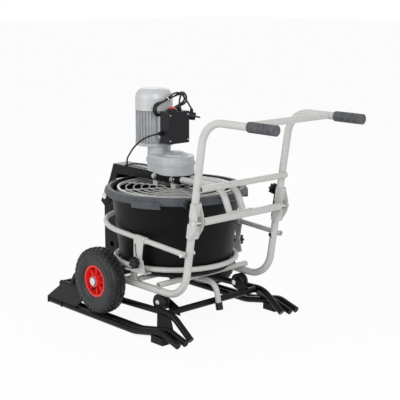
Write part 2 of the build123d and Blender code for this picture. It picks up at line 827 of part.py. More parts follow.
def tub():
    """Tapered plastic tub with a rolled rim and three grip lips."""
    profile = [
        (0, tub_floor_z),
        (tub_bottom_r - 10, tub_floor_z),
        (tub_bottom_r, tub_floor_z + 10),
        (tub_top_r, tub_rim_z - 30),
        (tub_rim_r - 7, tub_rim_z - 30),
        (tub_rim_r, tub_rim_z - 24),
        (tub_rim_r, tub_rim_z - 8),
        (tub_rim_r - 8, tub_rim_z),
        (tub_top_r + 4, tub_rim_z),
        (tub_top_r - tub_wall, tub_rim_z - 7),
        (tub_top_r - tub_wall, tub_rim_z - 26),
        (tub_bottom_r - tub_wall, tub_floor_z + 12),
        (tub_bottom_r - tub_wall - 8, tub_floor_z + tub_wall),
        (0, tub_floor_z + tub_wall),
    ]
    shell = turned(profile)
    lip_profile = [
        (tub_rim_r - 12, tub_rim_z - 42),
        (tub_rim_r + 4, tub_rim_z - 40),
        (tub_rim_r + 4, tub_rim_z - 14),
        (tub_rim_r - 4, tub_rim_z - 12),
        (tub_rim_r - 12, tub_rim_z - 28),
    ]
    face = Plane.XZ * make_face(Polyline(*lip_profile, close=True))
    lip = revolve(face, axis=Axis.Z, revolution_arc=24)
    for angle in lip_angles:
        shell += Rot(0, 0, angle - 12) * lip
    return shell


# ---------------------------------------------------------------- mixing head: arm and grill


def arm():
    """Downward-open channel with two rear cheeks that reach back to the head's pivot."""
    top = arm_top_z
    cheek_outline = [
        (arm_rear_x, top),
        (arm_front_x, top),
        (arm_front_x, top - arm_front_high),
        (arm_rear_x + 24, top - 39),
        (arm_rear_x + 2, top - 100),
        (arm_rear_x - 30, head_pivot_z - 22),
        (head_pivot_x - 13, head_pivot_z - 43),
        (head_pivot_x - 35, head_pivot_z - 27),
        (arm_rear_x - 29, head_pivot_z + 71),
    ]
    body = side_plate(cheek_outline, -arm_half, -arm_half + arm_plate)
    body += side_plate(cheek_outline, arm_half - arm_plate, arm_half)
    body += block(arm_rear_x, arm_front_x, -arm_half, arm_half, top - arm_plate, top)
    back_outline = [
        (arm_rear_x, top),
        (arm_rear_x - 29, head_pivot_z + 71),
        (arm_rear_x - 29 + arm_plate, head_pivot_z + 71),
        (arm_rear_x + arm_plate, top),
    ]
    body += side_plate(back_outline, -arm_half, arm_half)
    body += block(arm_front_x - 4, arm_front_x, -arm_half, arm_half, top - arm_front_high, top)
    body -= rod((0, 0, top - 10), (0, 0, top + 10), 64)
    body -= rod((head_pivot_x, -60, head_pivot_z), (head_pivot_x, 60, head_pivot_z), head_pivot_d)
    for side in SIDES:
        body -= rod((30, side * hook_y, hook_z), (80, side * hook_y, hook_z), hook_d)
        for x in grill_bolt_xs:
            body -= rod((x, side * 30, grill_bolt_z), (x, side * 50, grill_bolt_z), 10)
        for x in (-100, 60):
            body -= rod((x, side * 28, top - 10), (x, side * 28, top + 10), 8)
    body -= rod((grommet_x, grommet_y, top - 10), (grommet_x, grommet_y, top + 10), 14)
    return body


hook_z = arm_top_z - arm_plate - hook_d / 2
grill_bolt_xs = (-82.0, 24.0)
grill_bolt_z = arm_top_z - 17.0
grommet_x = -272.0
grommet_y = -24.0


def arm_bolts():
    """Head pivot bolt, the grill's cheek bolts and the gearbox foot screws."""
    pivot = rod((head_pivot_x, -arm_half - 1, head_pivot_z), (head_pivot_x, arm_half + 1, head_pivot_z), head_pivot_d)
    for side in SIDES:
        y = side * (arm_half + 1)
        pivot += rod((head_pivot_x, y, head_pivot_z), (head_pivot_x, y + side * 9, head_pivot_z), 26)
    bolts = [pivot]
    for side in SIDES:
        for x in grill_bolt_xs:
            shank = rod((x, side * 30, grill_bolt_z), (x, side * 42, grill_bolt_z), 10)
            washer = rod((x, side * arm_half, grill_bolt_z), (x, side * (arm_half + 2), grill_bolt_z), 24)
            head = rod((x, side * (arm_half + 2), grill_bolt_z), (x, side * (arm_half + 9), grill_bolt_z), 17)
            bolts.append(shank + washer + head)
    return bolts


def hook_tubes():
    """Two tubes from the arm's end down to the saddle that rests on the hinge crossbar."""
    end_x = hinge_x - 27
    shapes = []
    for side in SIDES:
        shapes.append(
            bent_rod(
                [
                    (arm_front_x - 4 - 16, side * hook_y, hook_z),
                    (arm_front_x + 30, side * hook_y, hook_z),
                    (hook_corner_x, side * hook_spread, hook_z + 4),
                    (end_x, side * hook_spread, hinge_z - 6),
                ],
                [120, 70],
                hook_d,
            )
        )
    saddle_r = tube_d / 2 + seat_gap
    reach = hook_spread + 14
    saddle = rod((hinge_x, -reach, hinge_z), (hinge_x, reach, hinge_z), 2 * (saddle_r + 4))
    saddle = saddle + shapes[0] + shapes[1]
    saddle -= rod((hinge_x, -reach - 1, hinge_z), (hinge_x, reach + 1, hinge_z), 2 * saddle_r)
    saddle -= block(hinge_x - 80, hinge_x + 40, -reach - 1, reach + 1, hinge_z - 60, hinge_z)
    saddle -= block(hinge_x + 3, hinge_x + 40, -reach - 1, reach + 1, hinge_z - 60, hinge_z + 40)
    return saddle


def ring_bar(radius, section):
    """Level ring of square bar, centred on the grill's height."""
    outline = Circle(radius + section / 2) - Circle(radius - section / 2)
    return Pos(0, 0, grill_z - section / 2) * extrude(outline, amount=section)


def grill():
    """Safety grill: rim, rings and radial bars, hung inside the arm's cheeks by four tabs."""
    guard = ring_bar(grill_r, grill_rim_d)
    for radius in grill_rings:
        guard += ring_bar(radius, grill_wire_d)
    length = grill_r - grill_rings[0]
    bar = Pos(grill_rings[0] + length / 2, 0, grill_z) * Box(length, grill_wire_d, grill_wire_d)
    for index in range(8):
        guard += Rot(0, 0, 22.5 + 45 * index) * bar
    for side in SIDES:
        for x in grill_bolt_xs:
            half = grill_tab_wide / 2
            outer = side * (arm_half - arm_plate)
            low = grill_z - grill_wire_d / 2
            tab = block(x - half, x + half, min(outer, outer - side * 4), max(outer, outer - side * 4), low, arm_top_z - arm_plate)
            guard += tab - rod((x, side * 25, grill_bolt_z), (x, side * 45, grill_bolt_z), 10)
    return guard


# ---------------------------------------------------------------- gearbox and motor


def case_outline(shrink=0.0):
    """Plan of the gearbox: a large round over the output and a small one under the motor."""
    big = Circle(gear_case_r - shrink)
    small = Pos(case_lobe_x, 0) * Circle(case_lobe_r - shrink)
    waist = gear_case_r * 0.80 - shrink
    neck = make_face(
        Polyline(
            (case_lobe_x, case_lobe_r - shrink),
            (-gear_case_r * 0.3, waist * 1.18),
            (-gear_case_r * 0.3, -waist * 1.18),
            (case_lobe_x, -case_lobe_r + shrink),
            close=True,
        )
    )
    return big + small + neck


def gearbox_base():
    """Lower half of the cast housing, with foot lugs and the output bearing seat."""
    body = Pos(0, 0, arm_top_z) * extrude(case_outline(), amount=case_split_z - arm_top_z)
    body -= Pos(0, 0, arm_top_z + case_wall + 8) * extrude(case_outline(case_wall), amount=100)
    body += Pos(0, 0, case_split_z - 6) * extrude(case_outline(-4) - case_outline(case_wall), amount=6)
    body -= rod((0, 0, arm_top_z - 1), (0, 0, case_split_z), output_bearing_d)
    body -= rod((second_shaft_x, 0, arm_top_z + 3), (second_shaft_x, 0, case_split_z), small_bearing_d)
    return body


dome_r = 50.0
dome_rise = 7.0


def gearbox_cover():
    """Upper half: flat lid, low dome over the output gear and the neck under the motor."""
    lid_low = case_split_z
    lid_high = case_split_z + 8
    body = Pos(0, 0, lid_low) * extrude(case_outline(-4), amount=lid_high - lid_low)
    body += Pos(0, 0, lid_high) * extrude(case_outline(1), amount=case_top_z - 8 - lid_high)
    dome = [(0, -9), (dome_r, -9), (dome_r - 3, -3), (dome_r - 18, 5), (dome_r - 24, dome_rise), (0, dome_rise)]
    body += turned([(r, case_top_z + z) for r, z in dome])
    body += Pos(case_lobe_x, 0, lid_high) * extrude(Circle(case_lobe_r - 2), amount=motor_foot_z - lid_high)
    hollow = Pos(0, 0, lid_low - 1) * extrude(case_outline(case_wall + 1), amount=case_top_z - 8 - case_wall - lid_low)
    body -= hollow
    body -= rod((motor_x, 0, lid_low), (motor_x, 0, motor_foot_z + 1), 24)
    body += rod((0, 0, case_split_z + 14), (0, 0, case_top_z - 8), output_bearing_d + 8)
    body -= rod((0, 0, case_split_z + 13), (0, 0, case_split_z + 26), top_bearing_d)
    body += rod((second_shaft_x, 0, 619), (second_shaft_x, 0, case_top_z - 10), small_bearing_d + 6)
    body -= rod((second_shaft_x, 0, 618), (second_shaft_x, 0, 624), 16 + 2 * running)
    return body


output_bearing_d = 62.0
top_bearing_d = 40.0
small_bearing_d = 28.0


def bearing(x, z0, z1, outer_d, inner_d):
    """Ball bearing drawn as one ring."""
    return rod((x, 0, z0), (x, 0, z1), outer_d, inner_d)


def bearings():
    """Bearings of the gear shafts and the motor shaft."""
    return [
        bearing(0, arm_top_z + 6, arm_top_z + 18, output_bearing_d, shaft_d + 2 * running),
        bearing(0, case_split_z + 13.5, case_split_z + 25.5, top_bearing_d, 20 + 2 * running),
        bearing(second_shaft_x, arm_top_z + 3, arm_top_z + 12, small_bearing_d, 16 + 2 * running),
        bearing(motor_x, motor_foot_z + 1, motor_foot_z + 13, 40, 18 + 2 * running),
        bearing(motor_x, cowl_base_z - 12, cowl_base_z - 1, 40, 18 + 2 * running),
    ]


def shaft_seal():
    """Lip seal below the output bearing."""
    return rod((0, 0, arm_top_z), (0, 0, arm_top_z + 6), output_bearing_d, shaft_d + 2 * running)


def output_gear():
    """Output shaft with its pressed-on gear; its lower end is a plain coupling spigot."""
    gear = gear_blank(48, 2.5, arm_top_z + 19, arm_top_z + 37)
    shaft = rod((0, 0, arm_top_z - 30), (0, 0, arm_top_z + 38), shaft_d)
    top = rod((0, 0, arm_top_z + 38), (0, 0, case_split_z + 25), 20)
    return gear + shaft + top


def intermediate_gear():
    """Countershaft: a small pinion below and the large first-stage gear above."""
    pinion = gear_blank(12, 2.5, arm_top_z + 17, arm_top_z + 39, phase=15)
    wheel = gear_blank(60, 1.5, case_split_z + 4, case_split_z + 14)
    shaft = rod((0, 0, arm_top_z + 4), (0, 0, 623.5), 16)
    return Pos(second_shaft_x, 0, 0) * (pinion + wheel + shaft)


def rotor():
    """Squirrel-cage rotor on the motor shaft, cut with the first-stage pinion at its foot."""
    pinion = gear_blank(12, 1.5, case_split_z + 2, case_split_z + 16, phase=15)
    shaft = rod((0, 0, case_split_z + 16), (0, 0, cowl_base_z + 26), 18)
    core = rod((0, 0, 696), (0, 0, 764), 60)
    return Pos(motor_x, 0, 0) * (pinion + shaft + core)


def stator():
    """Laminated stator ring with its windings."""
    core = rod((motor_x, 0, 694), (motor_x, 0, 766), 116, 62)
    low_winding = rod((motor_x, 0, 682), (motor_x, 0, 694), 100, 68)
    high_winding = rod((motor_x, 0, 766), (motor_x, 0, 778), 100, 68)
    return core + low_winding + high_winding


def motor_housing():
    """Finned motor barrel with its end shields and the pad for the control box."""
    barrel = rod((motor_x, 0, motor_foot_z), (motor_x, 0, cowl_base_z), 2 * motor_body_r)
    fin = block(motor_body_r - 2, motor_fin_r, -1.4, 1.4, motor_foot_z + 10, cowl_base_z)
    for index in range(32):
        barrel += Pos(motor_x, 0, 0) * Rot(0, 0, 360 / 32 * (index + 0.5)) * fin
    barrel += rod((motor_x, 0, motor_foot_z), (motor_x, 0, motor_foot_z + 12), 150)
    barrel += block(motor_x + 50, box_back_x, -34, 34, box_low_z + 14, box_high_z - 22)
    barrel -= rod((motor_x, 0, motor_foot_z + 14), (motor_x, 0, cowl_base_z - 13), 116)
    barrel -= rod((motor_x, 0, motor_foot_z + 1), (motor_x, 0, motor_foot_z + 15), 40)
    barrel -= rod((motor_x, 0, motor_foot_z - 1), (motor_x, 0, motor_foot_z + 2), 24)
    barrel -= rod((motor_x, 0, cowl_base_z - 14), (motor_x, 0, cowl_base_z - 1), 40)
    barrel -= rod((motor_x, 0, cowl_base_z - 2), (motor_x, 0, cowl_base_z + 1), 24)
    return barrel


def cooling_fan():
    """Radial fan on the motor shaft's upper end."""
    hub = rod((0, 0, cowl_base_z + 6), (0, 0, cowl_base_z + 24), 34, 18)
    disc = rod((0, 0, cowl_base_z + 6), (0, 0, cowl_base_z + 9), 128, 30)
    blade = block(15, 60, -1.2, 1.2, cowl_base_z + 7, cowl_base_z + 30)
    fan = hub + disc
    for index in range(8):
        fan += Rot(0, 0, 45 * index) * blade
    fan -= rod((0, 0, cowl_base_z), (0, 0, cowl_base_z + 40), 18)
    return Pos(motor_x, 0, 0) * fan


def fan_cowl():
    """Rounded sheet cowl over the fan, with air holes in its crown."""
    wall = 2.0
    outer = [
        (cowl_r, cowl_base_z),
        (cowl_r, cowl_top_z - 34),
        (cowl_r - 4, cowl_top_z - 18),
        (cowl_r - 14, cowl_top_z - 5),
        (cowl_r - 24, cowl_top_z),
        (0, cowl_top_z),
        (0, cowl_top_z - wall),
        (cowl_r - 25, cowl_top_z - wall),
        (cowl_r - 15.5, cowl_top_z - 6.5),
        (cowl_r - 6, cowl_top_z - 19),
        (cowl_r - wall, cowl_top_z - 35),
        (cowl_r - wall, cowl_base_z),
    ]
    cowl = turned(outer)
    for radius, count in ((16, 6), (28, 12), (40, 18)):
        for index in range(count):
            angle = 2 * math.pi * index / count
            x = radius * math.cos(angle)
            y = radius * math.sin(angle)
            cowl -= rod((x, y, cowl_top_z - 10), (x, y, cowl_top_z + 5), 7)
    return Pos(motor_x, 0, 0) * cowl


# ---------------------------------------------------------------- paddle


def paddle():
    """Mixing tool: a sleeve on the output shaft, three legs and a bottom ring with blades."""
    low_z = tub_floor_z + 34
    top = arm_top_z - 12
    stem = rod((0, 0, top - 150), (0, 0, top), 42)
    stem -= rod((0, 0, arm_top_z - 30), (0, 0, top + 1), shaft_d)
    stem += rod((0, 0, low_z), (0, 0, top - 150), 26)
    tool = stem + Pos(0, 0, low_z) * Torus(paddle_r, 6)
    for index in range(3):
        turn = Rot(0, 0, 120 * index)
        leg = bent_rod([(14, 0, top - 130), (paddle_r, 0, top - 170), (paddle_r, 0, low_z)], [50], 12)
        arm_bar = rod((0, 0, low_z), (paddle_r, 0, low_z), 12)
        blade = Pos(paddle_r * 0.52, 0, low_z) * Rot(40, 0, 0) * Box(paddle_r * 0.72, 4, 40)
        tool += turn * (leg + arm_bar + blade)
    return tool


# ---------------------------------------------------------------- control box


def control_box():
    """Back half of the switch box, open towards its lid."""
    body = block(box_back_x, box_split_x, -box_half_y, box_half_y, box_low_z, box_high_z)
    inner = box_half_y - box_wall
    body -= block(box_back_x + box_wall, box_split_x + 1, -inner, inner, box_low_z + box_wall, box_high_z - box_wall)
    body -= rod((button_x, button_y, box_high_z - 10), (button_x, button_y, box_high_z + 5), 20)
    body -= rod((box_gland_x, -box_half_y - 5, box_gland_z), (box_gland_x, -box_half_y + 10, box_gland_z), 12)
    body -= rod((lead_gland_x, lead_gland_y, box_high_z - 10), (lead_gland_x, lead_gland_y, box_high_z + 5), 12)
    return body


def control_lid():
    """Front half of the switch box with four screw heads."""
    body = block(box_split_x, box_front_x, -box_half_y, box_half_y, box_low_z, box_high_z)
    inner = box_half_y - box_wall
    body -= block(box_split_x - 1, box_front_x - box_wall, -inner, inner, box_low_z + box_wall, box_high_z - box_wall)
    for y in (-box_half_y + 7, box_half_y - 7):
        for z in (box_low_z + 9, box_high_z - 9):
            body += rod((box_front_x - 1, y, z), (box_front_x + 1.5, y, z), 8)
    return body


box_gland_x = -20.0
box_gland_z = 712.0
lead_gland_x = -18.0
lead_gland_y = 34.0


def switch_bezel():
    """Flared collar of the push switch on the box's top."""
    profile = [(12.3, box_high_z), (21, box_high_z), (15.5, box_high_z + 11), (12.3, box_high_z + 11)]
    return turned(profile, button_x, button_y)


def stop_button():
    """Red push cap with its plunger into the box."""
    z = box_high_z
    cap = rod((button_x, button_y, z + 4), (button_x, button_y, z + 17), button_d)
    return cap + rod((button_x, button_y, z - 12), (button_x, button_y, z + 4), 10)


def control_internals():
    """Starting capacitor and switch block inside the box."""
    capacitor = rod((-10, 30, box_low_z + box_wall), (-10, 30, box_low_z + 78), 34)
    switch = block(button_x - 13, button_x + 13, button_y - 13, button_y + 13, box_high_z - 50, box_high_z - 17)
    hanger = block(button_x - 13, button_x + 13, button_y - 13, button_y - 9, box_high_z - 50, box_high_z - box_wall)
    return [capacitor, switch + hanger]


def gland(start, direction, length=16.0):
    """Cable gland: a hexagon nut and a domed cap round the cable."""
    axis = Vector(*direction)
    base = Vector(*start)
    nut = rod(base, base + axis * (length * 0.4), 19)
    cap = rod(base + axis * (length * 0.4), base + axis * length, 15)
    stem = rod(base - axis * 8, base, 12)
    return nut + cap + stem - rod(base - axis * 20, base + axis * (length + 1), cable_d)


def cable_glands():
    """Glands of the control cable and the mains lead, and the arm's rubber grommet."""
    grommet = rod((grommet_x, grommet_y, arm_top_z - 6), (grommet_x, grommet_y, arm_top_z), 14)
    grommet += rod((grommet_x, grommet_y, arm_top_z), (grommet_x, grommet_y, arm_top_z + 4), 20)
    grommet -= rod((grommet_x, grommet_y, arm_top_z - 8), (grommet_x, grommet_y, arm_top_z + 6), cable_d)
    return [
        gland((box_gland_x, -box_half_y, box_gland_z), (0, -1, 0)),
        gland((lead_gland_x, lead_gland_y, box_high_z), (0, 0, 1)),
        grommet,
    ]


# ---------------------------------------------------------------- cords

lead_start = [(-18, 34, 811), (-18, 34, 829), (-22, 44, 848), (-34, 58, 860)]
lead_tail = [
    (-42, -14, 833),
    (-41, 6, 848),
    (-39.5, 22, 858),
    (-37, 39, 862),
    (-33, 54, 858),
    (-27.5, 66, 846),
    (-18, 74, 828),
    (3, 79, 799),
]
motor_route = [(-266, -14, 557.4), (-246, -6, 560), (-208, 2, 563), (-175, 0, 563), (-148, -4, 561)]
control_route = [
    (box_gland_x, -box_half_y - 16, box_gland_z),
    (box_gland_x - 3, -box_half_y - 40, box_gland_z - 2),
    (-44, -114, 700),
    (-90, -116, 674),
    (-140, -102, 643),
    (-190, -78, 613),
    (-234, -52, 592),
    (-263, -32, 577),
    (grommet_x, grommet_y, arm_top_z + 4),
]
coil_left = (-44.0, -46.0, 802.0)
coil_right = (-40.5, 66.0, 836.0)
coil_radius = 21.0
coil_bundle_d = 15.0
plug_place = (5.0, 79.0, 771.0)
plug_axis = (0.6, 0.78, -0.18)
plug_d = 32.0


def cord_radii(points):
    """Largest arc that each corner's two runs allow."""
    radii = []
    for before, corner, after in zip(points, points[1:], points[2:]):
        first = Vector(*corner) - Vector(*before)
        second = Vector(*after) - Vector(*corner)
        turn = math.radians(first.get_angle(second))
        radii.append(0.45 * min(first.length, second.length) / math.tan(turn / 2))
    return radii


def cord_tube(points):
    """Plain tube of a cord's uncoiled stretch."""
    return bent_rod(points, cord_radii(points), cable_d)


def cord(name, points):
    """Cord tube; prints its corner radii and its volume against section times length."""
    radii = cord_radii(points)
    path = FilletPolyline(*points, radius=radii)
    tube = cord_tube(points)
    share = tube.volume / (math.pi * cable_d**2 / 4 * path.length)
    print(name, "length", round(path.length, 1), "radii", [round(r) for r in radii], "volume", round(share, 4))
    return tube


def mains_coil():
    """Tied hank of the mains lead: an upright oval of its bundled turns."""
    left = Vector(*coil_left)
    right = Vector(*coil_right)
    along = (right - left).normalized()
    plane = Plane(origin=left, x_dir=along, z_dir=along.cross(Vector(0, 0, 1)))
    reach = (right - left).length
    r = coil_radius
    top = Line((0, r), (reach, r))
    right_turn = ThreePointArc((reach, r), (reach + r, 0), (reach, -r))
    base = Line((reach, -r), (0, -r))
    left_turn = ThreePointArc((0, -r), (-r, 0), (0, r))
    path = plane * Wire([top.edge(), right_turn.edge(), base.edge(), left_turn.edge()])
    section = Plane(origin=path @ 0, z_dir=path % 0) * Circle(coil_bundle_d / 2)
    return sweep(section, path=path)


def plug():
    """Angled mains plug: a round body, its cable boot on top and two contact pins."""
    centre = Vector(*plug_place)
    axis = Vector(*plug_axis).normalized()
    body = rod(centre - axis * 13, centre + axis * 7, plug_d)
    body += rod(centre + axis * 7, centre + axis * 14, plug_d - 3)
    body += rod(centre, Vector(*lead_tail[-1]), 13)
    across = axis.cross(Vector(0, 0, 1)).normalized()
    for side in SIDES:
        pin = centre + axis * 13 + across * (8.5 * side)
        body += rod(pin, pin + axis * 20, 4.8)
    return body - cord_tube(lead_tail)


# ---------------------------------------------------------------- write every piece

left_tubes = runner_tubes(-1)
right_tubes = runner_tubes(1)
all_tubes = left_tubes + right_tubes
cross_tubes = stand_cross_tubes(all_tubes)

put("runner_tubes_left", *left_tubes)
put("runner_tubes_right", *right_tubes)
put("wheel_trays", wheel_tray(-1, left_tubes, cross_tubes), wheel_tray(1, right_tubes, cross_tubes))
put("roller_pedestals", *roller_pedestal(-1, left_tubes), *roller_pedestal(1, right_tubes))
put("stand_cross_tubes", *cross_tubes)
put("column", column(cross_tubes))
put("roller_bolts", *[roller_bolt(side) for side in SIDES])
put("axle", axle())
put("wheel_bushes", *[wheel_bush(side) for side in SIDES])
put("frame_cross_tubes", *frame_cross_tubes())
put("tub_ring", tub_ring())
put("clamp_brackets", *[clamp_bracket(side) for side in SIDES])
put("foot_tube", foot_tube())
put("foot_cap", foot_cap())
put("hinge_crossbar", hinge_crossbar(), *[lower_hinge_bracket(side) for side in SIDES])
put("trolley_pins", *[make(side) for make in (hinge_pin, latch_peg, hoop_bolt, axle_nut) for side in SIDES])
put("guard_hoop", *hoop())
put("handle_tubes", *[handle_tube(side) for side in SIDES])
put("handle_braces", *handle_crossbars(), *[upper_hinge_bracket(side) for side in SIDES])
put("grips", *[grip(side) for side in SIDES])
put("latch_bars", *[latch_bar(side) for side in SIDES])
put("tub", tub())

for side in SIDES:
    name = SIDE_NAMES[side]
    put(f"side_tube_{name}", side_tube(side))
    put(f"roller_{name}", roller(side))
    put(f"tyre_{name}", tyre(side))
    put(f"wheel_hub_{name}", wheel_hub(side))
    put(f"clamp_knob_{name}", clamp_knob(side))
    put(f"latch_knob_{name}", latch_knob(side))

put("arm", arm())
put("arm_bolts", *arm_bolts())
put("hook_tubes", hook_tubes())
put("grill", grill())
put("gearbox_base", gearbox_base())
put("gearbox_cover", gearbox_cover())
put("bearings", *bearings())
put("shaft_seal", shaft_seal())
put("output_gear", output_gear())
put("intermediate_gear", intermediate_gear())
put("rotor", rotor())
put("stator", stator())
put("motor_housing", motor_housing())
put("cooling_fan", cooling_fan())
put("fan_cowl", fan_cowl())
put("paddle", paddle())
put("control_box", control_box())
put("control_lid", control_lid())
put("switch_bezel", switch_bezel())
put("stop_button", stop_button())
put("control_internals", *control_internals())
put("cable_glands", *cable_glands())
put("mains_lead", cord("mains lead, start", lead_start), cord("mains lead, tail", lead_tail))
put("mains_coil", mains_coil())
put("plug", plug())
put("control_cable", cord("control cable", control_route), cord("motor cable", motor_route))
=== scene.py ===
import json
import math

import bmesh
import bpy
from mathutils import Matrix, Vector


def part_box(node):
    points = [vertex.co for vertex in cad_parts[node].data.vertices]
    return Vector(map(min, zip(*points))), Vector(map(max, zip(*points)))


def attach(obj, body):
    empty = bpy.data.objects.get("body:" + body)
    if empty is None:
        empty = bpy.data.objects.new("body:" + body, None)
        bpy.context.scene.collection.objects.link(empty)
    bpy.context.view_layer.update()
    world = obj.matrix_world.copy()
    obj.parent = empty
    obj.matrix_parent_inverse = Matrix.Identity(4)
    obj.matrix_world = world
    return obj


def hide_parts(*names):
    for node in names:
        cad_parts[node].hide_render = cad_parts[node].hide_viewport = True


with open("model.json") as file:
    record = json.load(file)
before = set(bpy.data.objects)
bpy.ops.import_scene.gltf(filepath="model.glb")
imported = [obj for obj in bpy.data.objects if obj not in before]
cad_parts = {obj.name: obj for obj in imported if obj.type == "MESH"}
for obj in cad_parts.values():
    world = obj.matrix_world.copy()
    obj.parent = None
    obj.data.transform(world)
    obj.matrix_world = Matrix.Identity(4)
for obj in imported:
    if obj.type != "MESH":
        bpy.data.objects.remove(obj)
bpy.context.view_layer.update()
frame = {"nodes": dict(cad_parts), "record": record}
nodes = frame["nodes"]

MM = 0.001
MID_X = 143.5  # the row frame's origin, measured from the tub's axis towards the handles, in mm


def at(x, y, z):
    """A point given in millimetres from the tub's axis at the floor, in the row frame in metres."""
    return Vector(((x - MID_X) * MM, y * MM, z * MM))


# ---------------------------------------------------------------- camera
def make_camera():
    data = bpy.data.cameras.new("camera")
    data.lens = 92.57
    data.sensor_width = 36.0
    camera = bpy.data.objects.new("camera", data)
    bpy.context.scene.collection.objects.link(camera)
    azimuth, elevation, roll = map(math.radians, (47.13, 11.72, 0.1))
    back = Vector(
        (
            math.sin(azimuth) * math.cos(elevation),
            -math.cos(azimuth) * math.cos(elevation),
            math.sin(elevation),
        )
    )
    camera.location = (2.8093, -2.6130, 1.2643)
    turn = (-back).to_track_quat("-Z", "Y").to_matrix() @ Matrix.Rotation(roll, 3, "Z")
    camera.rotation_euler = turn.to_euler()
    data.clip_start, data.clip_end = 0.05, 60
    bpy.context.scene.camera = camera


make_camera()


# ---------------------------------------------------------------- materials
class Nodes:
    """A small helper that adds shader nodes to one material and links them."""

    def __init__(self, name):
        self.material = bpy.data.materials.new(name)
        self.material.use_nodes = True
        self.tree = self.material.node_tree
        self.shader = self.tree.nodes["Principled BSDF"]

    def add(self, kind, **values):
        node = self.tree.nodes.new(kind)
        for key, value in values.items():
            if key in node.inputs:
                node.inputs[key].default_value = value
            else:
                setattr(node, key, value)
        return node

    def link(self, out, into):
        self.tree.links.new(out, into)

    def noise(self, scale, detail=3.0, rough=0.5, stretch=None):
        coords = self.add("ShaderNodeTexCoord")
        out = coords.outputs["Object"]
        if stretch:
            mapping = self.add("ShaderNodeMapping", Scale=stretch)
            self.link(out, mapping.inputs["Vector"])
            out = mapping.outputs["Vector"]
        noise = self.add("ShaderNodeTexNoise", Scale=scale, Detail=detail, Roughness=rough)
        self.link(out, noise.inputs["Vector"])
        return noise.outputs["Fac"]

    def ramp(self, value, low, high, color_low, color_high):
        ramp = self.add("ShaderNodeValToRGB")
        ramp.color_ramp.elements[0].position = low
        ramp.color_ramp.elements[1].position = high
        ramp.color_ramp.elements[0].color = (*color_low, 1)
        ramp.color_ramp.elements[1].color = (*color_high, 1)
        self.link(value, ramp.inputs["Fac"])
        return ramp.outputs["Color"]

    def span(self, value, low, high):
        node = self.add("ShaderNodeMapRange")
        node.inputs["To Min"].default_value = low
        node.inputs["To Max"].default_value = high
        node.inputs["From Min"].default_value = 0.3
        node.inputs["From Max"].default_value = 0.7
        self.link(value, node.inputs["Value"])
        return node.outputs["Result"]

    def bump(self, height, strength, distance, edge=0.0):
        bump = self.add("ShaderNodeBump", Strength=strength, Distance=distance)
        self.link(height, bump.inputs["Height"])
        if edge:
            bevel = self.add("ShaderNodeBevel", Radius=edge, samples=4)
            self.link(bevel.outputs["Normal"], bump.inputs["Normal"])
        self.link(bump.outputs["Normal"], self.shader.inputs["Normal"])


def finish_material(
    name,
    color,
    rough=0.4,
    metal=0.0,
    vary=0.12,
    grain=600.0,
    grain_depth=0.02,
    patch=9.0,
    edge=0.0006,
    rough_vary=0.06,
    coat=0.0,
    stretch=None,
    specular=0.5,
):
    """A finish: base colour with soft patches, roughness that varies, a fine grain and softened edges."""
    n = Nodes(name)
    dark = tuple(c * (1 - vary) for c in color)
    light = tuple(min(1.0, c * (1 + vary)) for c in color)
    patches = n.noise(patch, 4.0)
    n.link(n.ramp(patches, 0.35, 0.65, dark, light), n.shader.inputs["Base Color"])
    fine = n.noise(grain, 2.0, stretch=stretch)
    n.link(n.span(patches, rough - rough_vary, rough + rough_vary), n.shader.inputs["Roughness"])
    n.shader.inputs["Metallic"].default_value = metal
    n.shader.inputs["Specular IOR Level"].default_value = specular
    if coat:
        n.shader.inputs["Coat Weight"].default_value = coat
        n.shader.inputs["Coat Roughness"].default_value = 0.12
    n.bump(fine, grain_depth, 0.001, edge)
    return n.material


def tub_material():
    """Black moulded plastic; the thick rim and its lips, outside the wall, are a lighter grey that is partly
    wear and partly painted sheen.
    """
    n = Nodes("tub_plastic")
    coords = n.add("ShaderNodeTexCoord")
    offset = n.add("ShaderNodeVectorMath")
    offset.operation = "SUBTRACT"
    low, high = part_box("tub")
    middle = (low + high) / 2
    offset.inputs[1].default_value = (middle.x, middle.y, 0)
    n.link(coords.outputs["Object"], offset.inputs[0])
    flat = n.add("ShaderNodeVectorMath")
    flat.operation = "MULTIPLY"
    flat.inputs[1].default_value = (1, 1, 0)
    n.link(offset.outputs["Vector"], flat.inputs[0])
    reach = n.add("ShaderNodeVectorMath")
    reach.operation = "LENGTH"
    n.link(flat.outputs["Vector"], reach.inputs[0])
    # radial mask: the rim and its lips beyond the wall take the lighter grey, which is partly wear and
    # partly painted sheen
    height = n.add("ShaderNodeMapRange")
    height.inputs["From Min"].default_value = 0.2535
    height.inputs["From Max"].default_value = 0.2575
    n.link(reach.outputs["Value"], height.inputs["Value"])
    patches = n.noise(14.0, 5.0, 0.6)
    body = n.ramp(patches, 0.3, 0.7, (0.003, 0.003, 0.0035), (0.005, 0.005, 0.0055))
    # rim colour: a lighter grey for wear, with a painted sheen of the rim's gloss in it
    rim_wear_and_sheen = n.ramp(patches, 0.3, 0.7, (0.055, 0.06, 0.066), (0.11, 0.12, 0.13))
    mix = n.add("ShaderNodeMix")
    mix.data_type = "RGBA"
    n.link(height.outputs["Result"], mix.inputs["Factor"])
    n.link(body, mix.inputs["A"] if mix.inputs["A"].type == "RGBA" else mix.inputs[6])
    n.link(rim_wear_and_sheen, mix.inputs["B"] if mix.inputs["B"].type == "RGBA" else mix.inputs[7])
    n.link(mix.outputs[2], n.shader.inputs["Base Color"])
    n.link(n.span(patches, 0.4, 0.54), n.shader.inputs["Roughness"])
    n.shader.inputs["Specular IOR Level"].default_value = 0.14
    n.bump(n.noise(520, 2.0), 0.12, 0.001, 0.001)
    return n.material


